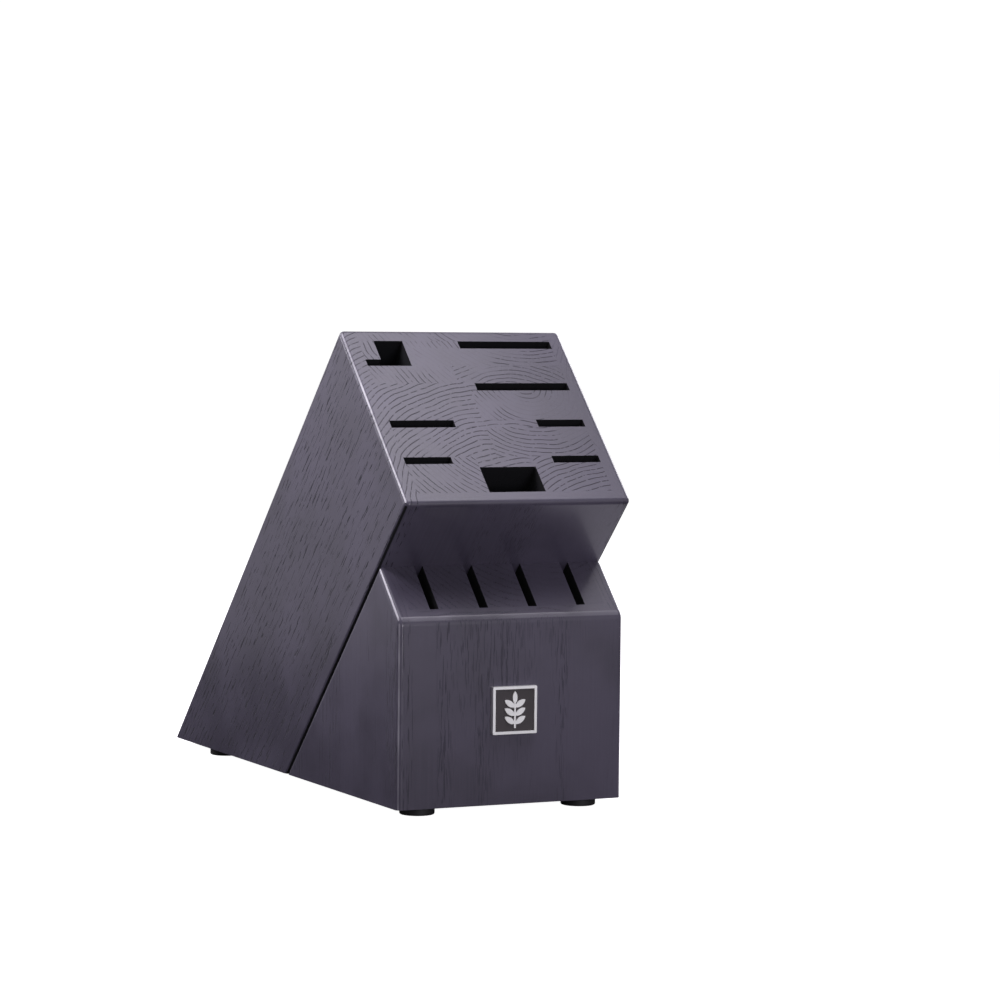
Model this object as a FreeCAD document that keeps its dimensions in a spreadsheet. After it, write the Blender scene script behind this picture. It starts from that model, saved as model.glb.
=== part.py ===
"""Slanted knife block: a leaning upper block of glued boards with a lower slotted block in front.

Frame: X across the block (right is +X), Y from front to back, Z up.  The origin is the middle of
the footprint of the whole block, on the surface that the rubber feet stand on.

Each wooden piece is a prism.  Its outline lies in the YZ plane and is measured from the heel, the
lower back edge of the upper block: "forward" is the distance in front of the heel and "height" the
distance above the underside of the wood.  The layers of the upper block lean forward by the lean
angle and are counted from the back, and the lower block carries the same layers on to the front.
"""

import FreeCAD, Part
import math
import os

import Sketcher

SIZES = [
    ("block_width", 116.5, "width of the block over both cheeks"),
    ("lean_angle", 45.0, "angle of the slots above the horizontal, degrees"),
    ("front_length", 200.6, "front side of the upper block, from its foot to the top face"),
    ("seam_length", 157.0, "the part of that side which the lower block covers"),
    ("shoulder_depth", 33.0, "slanted top of the lower block, from the seam to its nose"),
    ("cheek_thickness", 7.5, "outer board on the left and right of both blocks"),
    ("back_board_thickness", 7.6, "outer board at the back of the upper block"),
    ("front_board_thickness", 6.8, "outer board at the front of the upper block"),
    ("row1_gap", 4.8, "slot thickness in row 1, the back row"),
    ("shears_board", 11.7, "board in front of row 1, beside the shears opening"),
    ("rear_core", 11.4, "board between the shears opening and row 2"),
    ("row2_gap", 4.8, "slot thickness in row 2"),
    ("middle_core", 19.3, "staves between rows 2 and 3"),
    ("row3_gap", 4.6, "slot thickness in row 3"),
    ("front_core", 18.8, "staves between rows 3 and 4"),
    ("row4_gap", 4.3, "slot thickness in row 4"),
    ("row4_block", 18.1, "blocks between row 4 and the front board"),
    ("stave_joint_offset", 2.5, "glue joint of the staves in rows 2 to 4, left of the middle"),
    ("rear_joint_offset", 7.0, "glue joint of the two rear staves, left of the middle"),
    ("slicer_slot", 49.5, "slot width in row 1"),
    ("chef_slot", 49.4, "slot width in row 2"),
    ("santoku_slot", 33.1, "width of the left slot in row 3"),
    ("utility_slot", 25.0, "width of the right slot in row 3"),
    ("paring_slot", 24.2, "width of the left slot in row 4"),
    ("boning_slot", 24.8, "width of the right slot in row 4"),
    ("shears_post_width", 7.9, "post between the left cheek and the shears opening"),
    ("shears_hole_width", 14.9, "square part of the shears opening"),
    ("shears_leg_depth", 4.2, "narrow leg of the shears opening, in front of the post"),
    ("steel_hole_width", 29.1, "opening for the sharpening steel, across"),
    ("steel_hole_depth", 15.7, "opening for the sharpening steel, front to back"),
    ("steel_hole_offset", 0.8, "middle of that opening, right of the block's middle"),
    ("kerf_gap", 4.5, "steak-knife slots in the lower block, thickness"),
    ("kerf_pitch", 25.4, "distance between neighbouring steak-knife slots"),
    ("kerf_depth", 26.4, "steak-knife slots, from the seam towards the front"),
    ("edge_radius", 2.4, "rounding of the outer edges"),
    ("nose_radius", 6.0, "rounding of the lower block's top front edge"),
    ("dowel_diameter", 6.0, "dowels that line up the two blocks"),
    ("dowel_length", 36.0, "dowels, half in each block"),
    ("dowel_height", 80.0, "dowels, distance up the seam from its foot"),
    ("foot_height", 4.0, "rubber foot, below the wood"),
    ("foot_diameter", 16.6, "rubber foot"),
    ("foot_edge", 0.8, "rounding of the foot's lower edge"),
    ("foot_side_inset", 16.1, "centre of a front foot from the side of the block"),
    ("rear_foot_side_inset", 10.9, "centre of a rear foot from the side of the block"),
    ("foot_front_inset", 13.3, "centre of a front foot behind the front face"),
    ("rear_screw_margin", 0.8, "wood between a rear foot's screw and the row 2 slot"),
    ("recess_diameter", 9.4, "recess for the screw head in the foot"),
    ("recess_depth", 2.6, "depth of that recess"),
    ("washer_diameter", 9.0, "steel washer in the recess"),
    ("washer_thickness", 0.6, "steel washer"),
    ("screw_diameter", 3.4, "screw shank"),
    ("screw_head_diameter", 7.0, "screw head"),
    ("screw_head_height", 1.6, "screw head"),
    ("screw_reach", 10.0, "how far the screw goes into the wood"),
    ("screw_tip", 2.5, "length of the screw's point"),
    ("recess_blade", 1.1, "cross recess in the screw head, width of an arm"),
    ("recess_span", 4.2, "cross recess in the screw head, across both arms"),
    ("recess_sink", 0.9, "cross recess in the screw head, depth"),
    ("badge_width", 22.8, "badge on the front face"),
    ("badge_height", 22.4, "badge on the front face"),
    ("badge_thickness", 2.5, "how far the badge stands proud"),
    ("badge_border", 1.3, "raised border of the badge"),
    ("badge_corner", 0.5, "rounding of the badge's corners"),
    ("badge_drop", 0.9, "field below the border"),
    ("badge_rise", 44.5, "middle of the badge above the underside of the wood"),
    ("badge_offset", 0.6, "middle of the badge, right of the block's middle"),
    ("enamel_thickness", 0.3, "enamel on the field"),
    ("pin_diameter", 2.0, "pins on the back of the badge"),
    ("pin_length", 5.0, "pins on the back of the badge"),
    ("pin_spacing", 12.0, "distance between the two pins"),
    ("stem_width", 0.9, "stem of the sprig on the badge"),
    ("stem_drop", 8.4, "foot of the stem below the badge's middle"),
    ("leaf_reach", 5.3, "leaf of the sprig, sideways"),
    ("leaf_rise", 3.5, "leaf of the sprig, upwards"),
    ("leaf_side_radius", 4.4, "curve of a leaf's two sides"),
    ("leaf_spacing", 3.9, "distance between the leaf pairs"),
    ("top_leaf_length", 5.6, "leaf at the tip of the sprig"),
]

LAYERS = ["back_board_thickness", "row1_gap", "shears_board", "rear_core", "row2_gap",
          "middle_core", "row3_gap", "front_core", "row4_gap", "row4_block",
          "front_board_thickness"]
LEAF_PAIRS = 3
KERFS = 4
TOUCH = 1e-4

doc = FreeCAD.newDocument("KnifeBlock")
sheet = doc.addObject("Spreadsheet::Sheet", "Sizes")
for row, (alias, value, meaning) in enumerate(SIZES, start=1):
    sheet.set(f"A{row}", meaning)
    sheet.set(f"B{row}", str(value))
    sheet.setAlias(f"B{row}", alias)
doc.recompute()


# ---- expressions: every one is a formula over the cells of the sheet ----

def cell(alias):
    return f"Sizes.{alias}"


def number(expression):
    """The present value of an expression, as a plain number."""
    return float(sheet.evalExpression(expression))


LEAN = cell("lean_angle")
WIDTH = cell("block_width")


def depth(count):
    """How deep the first layers are together, counted from the back."""
    layers = " + ".join(cell(name) for name in LAYERS[:count])
    return f"({layers})" if layers else "0"


FULL_DEPTH = depth(len(LAYERS))


def foot_of(layer_depth):
    """Where a layer line meets the underside of the wood: (forward, height)."""
    if layer_depth == "0":
        return "0", "0"
    return f"({layer_depth}) / sin({LEAN})", "0"


def top_of(layer_depth, length):
    """Where a layer line meets a top face which is that length up the seam: (forward, height)."""
    beyond = f"(({layer_depth}) - {FULL_DEPTH})"
    forward = f"{FULL_DEPTH} / sin({LEAN}) + {length} * cos({LEAN}) + {beyond} * sin({LEAN})"
    height = f"{length} * sin({LEAN}) - {beyond} * cos({LEAN})"
    return forward, height


SEAM_FOOT = foot_of(FULL_DEPTH)[0]
NOSE_DEPTH = f"{FULL_DEPTH} + {cell('shoulder_depth')}"
KERF_END = f"{FULL_DEPTH} + {cell('kerf_depth')}"
FRONT_FACE, NOSE_HEIGHT = top_of(NOSE_DEPTH, cell("seam_length"))
BROW = top_of(FULL_DEPTH, cell("front_length"))[0]
BROW_ROUNDING = f"{cell('edge_radius')} * (sin({LEAN}) + cos({LEAN}) - 1)"
BADGE_FACE = f"{FRONT_FACE} + {cell('badge_thickness')}"
HEEL_Y = f"max({BROW} - {BROW_ROUNDING}; {BADGE_FACE}) / 2"

LEFT_SIDE = f"-{WIDTH} / 2"
RIGHT_SIDE = f"{WIDTH} / 2"
INNER_LEFT = f"{LEFT_SIDE} + {cell('cheek_thickness')}"
INNER_RIGHT = f"{RIGHT_SIDE} - {cell('cheek_thickness')}"


# ---- small helpers for sketches and features ----

def new_body(name, offset=("0", "0", "0")):
    """A body whose own origin is the heel, moved by an offset given in (right, back, up)."""
    body = doc.addObject("PartDesign::Body", name)
    body.Label = name
    right, back, up = offset
    body.setExpression(".Placement.Base.x", right)
    body.setExpression(".Placement.Base.y", f"{HEEL_Y} + {back}")
    body.setExpression(".Placement.Base.z", f"{cell('foot_height')} + {up}")
    return body


def origin_plane(body, role):
    return next(item for item in body.Origin.OriginFeatures if item.Role == role)


def new_sketch(body, name, role, lift="0"):
    """A sketch on one of the body's origin planes, lifted off it along the plane's normal."""
    sketch = body.newObject("Sketcher::SketchObject", name)
    sketch.AttachmentSupport = (origin_plane(body, role), [""])
    sketch.MapMode = "FlatFace"
    sketch.setExpression(".AttachmentOffset.Base.z", lift)
    return sketch


def pin_point(sketch, line, end, across, up):
    """Hold a point of the sketch at a place given by two expressions."""
    for kind, axis, expression in (("DistanceX", -2, across), ("DistanceY", -1, up)):
        distance = number(expression)
        if abs(distance) < TOUCH:
            sketch.addConstraint(Sketcher.Constraint("PointOnObject", line, end, axis))
        elif distance > 0:
            index = sketch.addConstraint(Sketcher.Constraint(kind, -1, 1, line, end, distance))
            sketch.setExpression(f"Constraints[{index}]", expression)
        else:
            index = sketch.addConstraint(Sketcher.Constraint(kind, line, end, -1, 1, -distance))
            sketch.setExpression(f"Constraints[{index}]", f"-({expression})")


def polygon(sketch, points):
    """A closed outline of straight lines through points given as pairs of expressions."""
    corners = [FreeCAD.Vector(number(across), number(up), 0) for across, up in points]
    following = corners[1:] + corners[:1]
    first = sketch.GeometryCount
    for start, end in zip(corners, following):
        sketch.addGeometry(Part.LineSegment(start, end), False)
    for index in range(len(points)):
        after = (index + 1) % len(points)
        joined = Sketcher.Constraint("Coincident", first + index, 2, first + after, 1)
        sketch.addConstraint(joined)
    for index, (across, up) in enumerate(points):
        pin_point(sketch, first + index, 1, across, up)


def rectangle(sketch, left, bottom, right, top):
    polygon(sketch, [(left, bottom), (right, bottom), (right, top), (left, top)])


def circle(sketch, across, up, diameter):
    centre = FreeCAD.Vector(number(across), number(up), 0)
    radius = number(diameter) / 2
    index = sketch.addGeometry(Part.Circle(centre, FreeCAD.Vector(0, 0, 1), radius), False)
    pin_point(sketch, index, 3, across, up)
    held = sketch.addConstraint(Sketcher.Constraint("Diameter", index, 2 * radius))
    sketch.setExpression(f"Constraints[{held}]", diameter)


def leaf(sketch, base, tip, radius):
    """A pointed leaf: two arcs of one radius from its base to its tip."""
    ends = [FreeCAD.Vector(number(across), number(up), 0) for across, up in (base, tip)]
    bend = number(radius)
    arcs = []
    for start, end in (ends, ends[::-1]):
        chord = end - start
        left = FreeCAD.Vector(-chord.y, chord.x, 0).normalize()
        rise = math.sqrt(bend ** 2 - (chord.Length / 2) ** 2)
        centre = (start + end) / 2 + left * rise
        begin = math.atan2(start.y - centre.y, start.x - centre.x)
        finish = math.atan2(end.y - centre.y, end.x - centre.x)
        if finish < begin:
            finish += 2 * math.pi
        round_line = Part.Circle(centre, FreeCAD.Vector(0, 0, 1), bend)
        arcs.append(sketch.addGeometry(Part.ArcOfCircle(round_line, begin, finish), False))
    sketch.addConstraint(Sketcher.Constraint("Coincident", arcs[0], 2, arcs[1], 1))
    sketch.addConstraint(Sketcher.Constraint("Coincident", arcs[1], 2, arcs[0], 1))
    pin_point(sketch, arcs[0], 1, *base)
    pin_point(sketch, arcs[0], 2, *tip)
    for arc in arcs:
        held = sketch.addConstraint(Sketcher.Constraint("Radius", arc, bend))
        sketch.setExpression(f"Constraints[{held}]", radius)


def pad(body, sketch, length, name, backwards=False):
    feature = body.newObject("PartDesign::Pad", name)
    feature.Profile = sketch
    feature.setExpression("Length", length)
    feature.Reversed = backwards
    doc.recompute()
    return feature


def pocket(body, sketch, length, name, upwards=False, midplane=False):
    """Cut a pocket and make sure that it took something away."""
    before = body.Shape.Volume
    feature = body.newObject("PartDesign::Pocket", name)
    feature.Profile = sketch
    feature.setExpression("Length", length)
    feature.Reversed = upwards
    if midplane:
        feature.SideType = "Symmetric"
    doc.recompute()
    if not body.Shape.Volume < before - TOUCH:
        raise RuntimeError(f"{body.Label}: {name} cuts nothing")
    return feature


def revolve(body, sketch, name):
    feature = body.newObject("PartDesign::Revolution", name)
    feature.Profile = sketch
    feature.ReferenceAxis = (sketch, ["V_Axis"])
    feature.Angle = 360
    doc.recompute()
    return feature


def round_edges(body, wanted, radius, name):
    """Round the edges of the body's last feature whose two ends both pass the test."""
    last = body.Tip
    names = []
    for index, edge in enumerate(last.Shape.Edges, start=1):
        ends = [vertex.Point for vertex in edge.Vertexes]
        if wanted(ends[0], ends[-1]):
            names.append(f"Edge{index}")
    if not names:
        raise RuntimeError(f"{body.Label}: {name} finds no edge")
    feature = body.newObject("PartDesign::Fillet", name)
    feature.Base = (last, names)
    feature.setExpression("Radius", radius)
    doc.recompute()
    return feature


# ---- tests that pick the edges to round, in the body's own coordinates ----

def near(first, second):
    return abs(first - second) < TOUCH


def outline_edge(side):
    """Edges of a cheek's outer face, apart from the one along the underside."""
    outer = number(side)

    def wanted(start, end):
        in_face = near(start.x, outer) and near(end.x, outer)
        return in_face and max(start.z, end.z) > TOUCH

    return wanted


def crosswise_edge(forward, height):
    """Edges that run straight across the block at one place of the outline."""
    place = (-number(forward), number(height))

    def wanted(start, end):
        at_place = near(start.y, place[0]) and near(start.z, place[1])
        return at_place and near(end.y, place[0]) and near(end.z, place[1])

    return wanted


def either(*tests):
    def wanted(start, end):
        return any(test(start, end) for test in tests)

    return wanted


# ---- wooden pieces ----

WOOD = []


def prism(name, left, right, corners):
    """A board: an outline seen from the side, padded across the block from left to right."""
    body = new_body(name)
    sketch = new_sketch(body, f"{name}_outline", "YZ_Plane", left)
    polygon(sketch, [(f"-({forward})" if forward != "0" else "0", height)
                     for forward, height in corners])
    pad(body, sketch, f"({right}) - ({left})", f"{name}_board")
    WOOD.append(body)
    return body


def upper_prism(name, left, right, back, front):
    """A piece of the upper block between two layer depths."""
    length = cell("front_length")
    return prism(name, left, right,
                 [foot_of(back), foot_of(front), top_of(front, length), top_of(back, length)])


def lower_prism(name, left, right, back, front):
    """A piece of the lower block between two layer depths."""
    length = cell("seam_length")
    return prism(name, left, right,
                 [foot_of(back), foot_of(front), top_of(front, length), top_of(back, length)])


def nosed_prism(name, left, right, back):
    """A piece of the lower block that reaches its upright front face."""
    length = cell("seam_length")
    return prism(name, left, right,
                 [foot_of(back), (FRONT_FACE, "0"), (FRONT_FACE, NOSE_HEIGHT),
                  top_of(back, length)])


def upper_shell():
    """The four outer boards of the upper block, with their rounded edges."""
    length = cell("front_length")
    heel_top = crosswise_edge(*top_of(depth(0), length))
    brow_edge = crosswise_edge(*top_of(FULL_DEPTH, length))
    radius = cell("edge_radius")
    sides = (("upper_left_cheek", LEFT_SIDE, INNER_LEFT, LEFT_SIDE),
             ("upper_right_cheek", INNER_RIGHT, RIGHT_SIDE, RIGHT_SIDE))
    for name, left, right, outer in sides:
        cheek = upper_prism(name, left, right, depth(0), FULL_DEPTH)
        round_edges(cheek, either(outline_edge(outer), heel_top, brow_edge), radius,
                    f"{name}_rounding")
    back = upper_prism("back_board", INNER_LEFT, INNER_RIGHT, depth(0), depth(1))
    round_edges(back, heel_top, radius, "back_board_rounding")
    front = upper_prism("front_board", INNER_LEFT, INNER_RIGHT, depth(10), FULL_DEPTH)
    round_edges(front, brow_edge, radius, "front_board_rounding")


def shears_pieces():
    """Row 1: the shears opening on the left and the wide slicer slot on the right."""
    post_right = f"{INNER_LEFT} + {cell('shears_post_width')}"
    hole_right = f"{post_right} + {cell('shears_hole_width')}"
    leg_back = f"{depth(3)} - {cell('shears_leg_depth')}"
    slot_left = f"{INNER_RIGHT} - {cell('slicer_slot')}"
    upper_prism("shears_post", INNER_LEFT, post_right, depth(1), leg_back)
    upper_prism("row1_spacer", hole_right, slot_left, depth(1), depth(2))
    upper_prism("shears_board", hole_right, INNER_RIGHT, depth(2), depth(3))


def core_pieces():
    """Boards, staves and spacers of rows 2 and 3."""
    joint = f"-{cell('stave_joint_offset')}"
    chef_left = f"{INNER_RIGHT} - {cell('chef_slot')}"
    santoku_right = f"{INNER_LEFT} + {cell('santoku_slot')}"
    utility_left = f"{INNER_RIGHT} - {cell('utility_slot')}"
    rear_joint = f"-{cell('rear_joint_offset')}"
    upper_prism("rear_core_left", INNER_LEFT, rear_joint, depth(3), depth(4))
    upper_prism("rear_core_right", rear_joint, INNER_RIGHT, depth(3), depth(4))
    upper_prism("row2_spacer", INNER_LEFT, chef_left, depth(4), depth(5))
    upper_prism("middle_core_left", INNER_LEFT, joint, depth(5), depth(6))
    upper_prism("middle_core_right", joint, INNER_RIGHT, depth(5), depth(6))
    upper_prism("row3_spacer", santoku_right, utility_left, depth(6), depth(7))
    upper_prism("front_core_left", INNER_LEFT, joint, depth(7), depth(8))
    upper_prism("front_core_right", joint, INNER_RIGHT, depth(7), depth(8))


STEEL_MIDDLE = cell("steel_hole_offset")
STEEL_LEFT = f"{STEEL_MIDDLE} - {cell('steel_hole_width')} / 2"
STEEL_RIGHT = f"{STEEL_MIDDLE} + {cell('steel_hole_width')} / 2"
PARING_RIGHT = f"{INNER_LEFT} + {cell('paring_slot')}"
BONING_LEFT = f"{INNER_RIGHT} - {cell('boning_slot')}"


def steel_pieces():
    """Row 4: two short slots beside the opening for the sharpening steel."""
    bridge_front = f"{depth(10)} - {cell('steel_hole_depth')}"
    upper_prism("steel_bridge", STEEL_LEFT, STEEL_RIGHT, depth(8), bridge_front)
    upper_prism("steel_left_leg", PARING_RIGHT, STEEL_LEFT, depth(8), depth(10))
    upper_prism("steel_right_leg", STEEL_RIGHT, BONING_LEFT, depth(8), depth(10))
    upper_prism("paring_block", INNER_LEFT, PARING_RIGHT, depth(9), depth(10))
    upper_prism("boning_block", BONING_LEFT, INNER_RIGHT, depth(9), depth(10))


def lower_shell():
    """Cheeks and front board of the lower block."""
    nose = crosswise_edge(FRONT_FACE, NOSE_HEIGHT)
    sides = (("lower_left_cheek", LEFT_SIDE, INNER_LEFT, LEFT_SIDE),
             ("lower_right_cheek", INNER_RIGHT, RIGHT_SIDE, RIGHT_SIDE))
    for name, left, right, outer in sides:
        cheek = nosed_prism(name, left, right, FULL_DEPTH)
        round_edges(cheek, nose, cell("nose_radius"), f"{name}_nose")
        round_edges(cheek, outline_edge(outer), cell("edge_radius"), f"{name}_rounding")
    front = nosed_prism("lower_front_board", INNER_LEFT, INNER_RIGHT, KERF_END)
    round_edges(front, nose, cell("nose_radius"), "lower_front_board_nose")


def kerf_fins():
    """The fins between the four steak-knife slots, closed at the back by the upper block."""
    edges = [INNER_LEFT]
    for index in range(KERFS):
        middle = f"{cell('kerf_pitch')} * {index - (KERFS - 1) / 2}"
        edges += [f"{middle} - {cell('kerf_gap')} / 2", f"{middle} + {cell('kerf_gap')} / 2"]
    edges.append(INNER_RIGHT)
    for index in range(KERFS + 1):
        lower_prism(f"kerf_fin_{index + 1}", edges[2 * index], edges[2 * index + 1],
                    FULL_DEPTH, KERF_END)


# ---- dowels across the seam ----

TO_SEAM = FreeCAD.Rotation(FreeCAD.Vector(1, 0, 0), -45)
DOWEL_PLACES = (f"({PARING_RIGHT} + {STEEL_LEFT}) / 2", f"({STEEL_RIGHT} + {BONING_LEFT}) / 2")


def compound(name, members):
    group = doc.addObject("Part::Compound", name)
    group.Label = name
    group.Links = members
    return group


def dowel_sockets(body):
    """Round holes square to the seam, in whichever block the body belongs to."""
    sketch = new_sketch(body, f"{body.Label}_socket_outline", "XY_Plane")
    sketch.AttachmentOffset = FreeCAD.Placement(FreeCAD.Vector(0, 0, 0), TO_SEAM)
    sketch.setExpression(".AttachmentOffset.Rotation.Angle", f"-{LEAN}")
    sketch.setExpression(".AttachmentOffset.Base.y", f"-({SEAM_FOOT})")
    for across in DOWEL_PLACES:
        circle(sketch, across, f"-{cell('dowel_height')}", cell("dowel_diameter"))
    pocket(body, sketch, cell("dowel_length"), f"{body.Label}_socket", midplane=True)


def seam_dowels():
    dowels = []
    for index, across in enumerate(DOWEL_PLACES, start=1):
        back = f"-({SEAM_FOOT}) - {cell('dowel_height')} * cos({LEAN})"
        body = new_body(f"seam_dowel_{index}",
                        (across, back, f"{cell('dowel_height')} * sin({LEAN})"))
        body.Placement.Rotation = TO_SEAM
        body.setExpression(".Placement.Rotation.Angle", f"-{LEAN}")
        sketch = new_sketch(body, f"seam_dowel_{index}_outline", "XY_Plane",
                            f"-{cell('dowel_length')} / 2")
        circle(sketch, "0", "0", cell("dowel_diameter"))
        pad(body, sketch, cell("dowel_length"), f"seam_dowel_{index}_rod")
        dowels.append(body)
    compound("seam_dowels", dowels)


# ---- feet, washers and screws ----

ROW2_FOOT = foot_of(depth(LAYERS.index("row2_gap")))[0]
REAR_FOOT = f"{ROW2_FOOT} - {cell('screw_diameter')} / 2 - {cell('rear_screw_margin')}"
FOOT_PLACES = tuple(
    (f"{end}_{side}", across.format(cell(inset)), forward)
    for end, inset, forward in (
        ("front", "foot_side_inset", f"{FRONT_FACE} - {cell('foot_front_inset')}"),
        ("rear", "rear_foot_side_inset", REAR_FOOT))
    for side, across in (("left", LEFT_SIDE + " + {}"), ("right", RIGHT_SIDE + " - {}")))
RECESS_ROOF = f"-({cell('foot_height')} - {cell('recess_depth')})"
WASHER_FACE = f"{RECESS_ROOF} - {cell('washer_thickness')}"
HEAD_FACE = f"{WASHER_FACE} - {cell('screw_head_height')}"


def half(alias):
    return f"{cell(alias)} / 2"


def turned(name, place, points):
    """A turned piece: half its outline, as (radius, height) pairs, revolved about its axis."""
    across, forward = place
    body = new_body(name, (across, f"-({forward})", "0"))
    sketch = new_sketch(body, f"{name}_outline", "XZ_Plane")
    polygon(sketch, points)
    revolve(body, sketch, f"{name}_turning")
    return body


def rubber_foot(name, place):
    ground = f"-{cell('foot_height')}"
    bore = half("screw_diameter")
    recess = half("recess_diameter")
    rim = half("foot_diameter")
    foot = turned(name, place, [(bore, "0"), (bore, RECESS_ROOF), (recess, RECESS_ROOF),
                                (recess, ground), (rim, ground), (rim, "0")])
    low = number(ground)
    wide = number(rim)

    def lower_rim(start, end):
        return near(start.z, low) and near(math.hypot(start.x, start.y), wide) and near(end.z, low)

    round_edges(foot, lower_rim, cell("foot_edge"), f"{name}_rounding")


def washer(name, place):
    bore = half("screw_diameter")
    rim = half("washer_diameter")
    return turned(name, place, [(bore, WASHER_FACE), (rim, WASHER_FACE), (rim, RECESS_ROOF),
                                (bore, RECESS_ROOF)])


def screw(name, place):
    """A pan-head wood screw with a cross recess, its head down."""
    shank = half("screw_diameter")
    head = half("screw_head_diameter")
    shoulder = f"{cell('screw_reach')} - {cell('screw_tip')}"
    body = turned(name, place, [("0", HEAD_FACE), (head, HEAD_FACE), (head, WASHER_FACE),
                                (shank, WASHER_FACE), (shank, shoulder),
                                ("0", cell("screw_reach"))])
    arm = half("recess_blade")
    span = half("recess_span")
    for turn, (wide, high) in enumerate(((span, arm), (arm, span)), start=1):
        sketch = new_sketch(body, f"{name}_recess_{turn}_outline", "XY_Plane", HEAD_FACE)
        rectangle(sketch, f"-{wide}", f"-{high}", wide, high)
        pocket(body, sketch, cell("recess_sink"), f"{name}_recess_{turn}", upwards=True)
    return body


def pilot_holes(body):
    """Blind holes for the foot screws, drilled up from the underside of the wood."""
    sketch = new_sketch(body, f"{body.Label}_pilot_outline", "XY_Plane")
    for corner, across, forward in FOOT_PLACES:
        circle(sketch, across, f"-({forward})", cell("screw_diameter"))
    pocket(body, sketch, cell("screw_reach"), f"{body.Label}_pilot", upwards=True)


def feet():
    washers = []
    screws = []
    for corner, across, forward in FOOT_PLACES:
        rubber_foot(f"foot_{corner}", (across, forward))
        washers.append(washer(f"washer_{corner}", (across, forward)))
        screws.append(screw(f"screw_{corner}", (across, forward)))
    compound("foot_washers", washers)
    compound("foot_screws", screws)


# ---- badge ----

def badge():
    """A cast plate with a raised border and sprig, enamel in its field and two pins behind."""
    middle = (cell("badge_offset"), f"-({FRONT_FACE})", cell("badge_rise"))
    wide, high = half("badge_width"), half("badge_height")
    border, drop = cell("badge_border"), cell("badge_drop")
    plate = new_body("badge_plate", middle)
    outline = new_sketch(plate, "badge_outline", "XZ_Plane")
    rectangle(outline, f"-{wide}", f"-{high}", wide, high)
    pad(plate, outline, cell("badge_thickness"), "badge_slab")
    corner = (number(wide), number(high))

    def upright_corner(start, end):
        at_corner = near(abs(start.x), corner[0]) and near(abs(start.z), corner[1])
        return at_corner and near(start.x, end.x) and near(start.z, end.z)

    round_edges(plate, upright_corner, cell("badge_corner"), "badge_corners")
    field = new_sketch(plate, "badge_field_outline", "XZ_Plane", cell("badge_thickness"))
    rectangle(field, f"-({wide} - {border})", f"-({high} - {border})", f"{wide} - {border}",
              f"{high} - {border}")
    pocket(plate, field, drop, "badge_field")
    sprig(plate, f"{cell('badge_thickness')} - {drop}", drop)
    pins = new_sketch(plate, "badge_pin_outline", "XZ_Plane")
    for side in ("-", ""):
        circle(pins, f"{side}{half('pin_spacing')}", "0", cell("pin_diameter"))
    pad(plate, pins, cell("pin_length"), "badge_pins", backwards=True)
    enamel(plate, middle)
    sockets = new_sketch(doc.getObject("lower_front_board"), "badge_socket_outline", "XZ_Plane",
                         FRONT_FACE)
    for side in ("-", "+"):
        circle(sockets, f"{cell('badge_offset')} {side} {half('pin_spacing')}",
               cell("badge_rise"), cell("pin_diameter"))
    pocket(doc.getObject("lower_front_board"), sockets, cell("pin_length"), "badge_sockets")


def sprig(plate, floor, height):
    """A stem with pairs of leaves and one leaf at its tip, as high as the border."""
    stem = half("stem_width")
    foot = f"-{cell('stem_drop')}"
    top = f"{foot} + {cell('leaf_spacing')} * {LEAF_PAIRS}"
    outline = new_sketch(plate, "stem_outline", "XZ_Plane", floor)
    rectangle(outline, f"-{stem}", foot, stem, top)
    pad(plate, outline, height, "stem")
    blade = new_sketch(plate, "top_leaf_outline", "XZ_Plane", floor)
    leaf(blade, ("0", f"{top} - {stem}"), ("0", f"{top} + {cell('top_leaf_length')}"),
         cell("leaf_side_radius"))
    pad(plate, blade, height, "top_leaf")
    for pair in range(LEAF_PAIRS):
        start = f"{foot} + {cell('leaf_spacing')} * {pair + 0.5}"
        for side, sign in (("left", "-"), ("right", "")):
            blade = new_sketch(plate, f"leaf_{pair + 1}_{side}_outline", "XZ_Plane", floor)
            leaf(blade, ("0", start),
                 (f"{sign}{cell('leaf_reach')}", f"{start} + {cell('leaf_rise')}"),
                 cell("leaf_side_radius"))
            pad(plate, blade, height, f"leaf_{pair + 1}_{side}")


def enamel(plate, middle):
    """A thin film on the floor of the field, left open where the sprig stands."""
    sheet_box = doc.addObject("Part::Box", "enamel_sheet")
    border = cell("badge_border")
    floor = f"{cell('badge_thickness')} - {cell('badge_drop')}"
    thickness = cell("enamel_thickness")
    sheet_box.setExpression("Length", f"{cell('badge_width')} - 2 * {border}")
    sheet_box.setExpression("Width", thickness)
    sheet_box.setExpression("Height", f"{cell('badge_height')} - 2 * {border}")
    across, back, up = middle
    sheet_box.setExpression(".Placement.Base.x", f"{across} - {half('badge_width')} + {border}")
    sheet_box.setExpression(".Placement.Base.y", f"{HEEL_Y} + {back} - ({floor}) - {thickness}")
    sheet_box.setExpression(".Placement.Base.z",
                            f"{cell('foot_height')} + {up} - {half('badge_height')} + {border}")
    film = doc.addObject("Part::Cut", "badge_enamel")
    film.Label = "badge_enamel"
    film.Base = sheet_box
    film.Tool = plate
    doc.recompute()


# ---- the whole block ----

def drill_for(fixings, drill):
    """Drill every wooden piece that the fixings go into."""
    doc.recompute()
    for body in WOOD:
        if body.Shape.common(fixings.Shape).Volume > TOUCH:
            drill(body)


upper_shell()
shears_pieces()
core_pieces()
steel_pieces()
lower_shell()
kerf_fins()
seam_dowels()
feet()
badge()
drill_for(doc.getObject("seam_dowels"), dowel_sockets)
drill_for(doc.getObject("foot_screws"), pilot_holes)
doc.recompute()

HELD_IN_GROUPS = ("seam_dowel_", "washer_", "screw_", "enamel_sheet")


def exported(item):
    if item.Name.startswith(HELD_IN_GROUPS):
        return False
    return item.TypeId in ("PartDesign::Body", "Part::Compound", "Part::Cut")


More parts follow.
